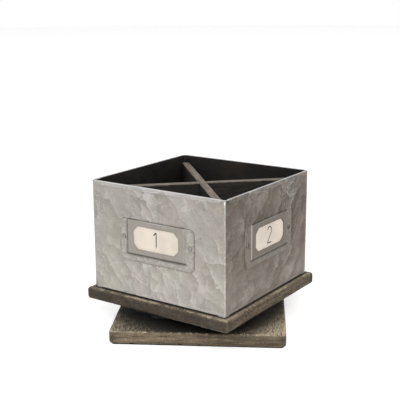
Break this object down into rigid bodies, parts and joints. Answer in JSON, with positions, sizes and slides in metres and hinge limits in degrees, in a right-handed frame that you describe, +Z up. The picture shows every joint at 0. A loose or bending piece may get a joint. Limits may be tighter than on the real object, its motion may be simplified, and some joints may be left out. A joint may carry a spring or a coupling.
{
  "type": "pen holder",
  "caption": "Square galvanised box on a wooden turntable, parted by a wooden cross into triangular compartments, with label holders on its walls.",
  "frame": {"origin": "on the spin axis, on the surface that the holder stands on", "axes": "+Z up along the spin axis; the front wall faces -Y and the right wall faces +X, and the lower board is turned 30.3 degrees about +Z against them at rest"},
  "size_m": [0.1794, 0.1794, 0.1173],
  "materials": {
    "pad_rubber": "matt anti-slip rubber sheet",
    "board_wood": "weathered grey-brown stain, arrises sanded pale",
    "bearing_steel": "zinc plated, satin",
    "ball_steel": "polished",
    "screw_steel": "zinc plated, satin",
    "pan_sheet": "matt black enamel on galvanised sheet",
    "galvanised_sheet": "spangled zinc outside, matt black enamel inside",
    "holder_sheet": "zinc, satin",
    "eyelet_steel": "zinc, satin",
    "divider_wood": "black stain, top edge worn grey-brown",
    "card": "uncoated cream card"
  },
  "bodies": {
    "base": {"base_pad": "pad_rubber", "base_board": "board_wood", "bearing_lower_plate": "bearing_steel", "lower_plate_screws": "screw_steel"},
    "balls": {"bearing_balls": "ball_steel"},
    "turntable": {"turntable_board": "board_wood", "bearing_upper_plate": "bearing_steel", "upper_plate_screws": "screw_steel", "box_screws": "screw_steel", "box_floor": "pan_sheet", "near_wall_panel": "galvanised_sheet", "far_wall_panel": "galvanised_sheet", "divider_near_far": "divider_wood", "divider_left_right": "divider_wood", "label_holder_front": "holder_sheet", "holder_eyelets_front": "eyelet_steel", "label_holder_right": "holder_sheet", "holder_eyelets_right": "eyelet_steel", "label_holder_back": "holder_sheet", "holder_eyelets_back": "eyelet_steel", "label_holder_left": "holder_sheet", "holder_eyelets_left": "eyelet_steel"},
    "card_front": {"label_card_front": "card"},
    "card_right": {"label_card_right": "card"},
    "card_back": {"label_card_back": "card"},
    "card_left": {"label_card_left": "card"}
  },
  "joints": [
    {"name": "turntable_spin", "type": "hinge", "parent": "base", "child": "turntable", "pos_m": [0, 0, 0.0156], "axis": [0, 0, 1], "continuous": true},
    {"name": "balls_orbit", "type": "hinge", "parent": "base", "child": "balls", "pos_m": [0, 0, 0.0156], "axis": [0, 0, 1], "continuous": true},
    {"name": "card_front_slide", "type": "slide", "parent": "turntable", "child": "card_front", "axis": [0, 0, 1], "range_m": [0, 0.0232]},
    {"name": "card_right_slide", "type": "slide", "parent": "turntable", "child": "card_right", "axis": [0, 0, 1], "range_m": [0, 0.0232]},
    {"name": "card_back_slide", "type": "slide", "parent": "turntable", "child": "card_back", "axis": [0, 0, 1], "range_m": [0, 0.0232]},
    {"name": "card_left_slide", "type": "slide", "parent": "turntable", "child": "card_left", "axis": [0, 0, 1], "range_m": [0, 0.0232]}
  ],
  "couplings": [
    {"joint": "balls_orbit", "follows": "turntable_spin", "ratio": 0.5}
  ]
}
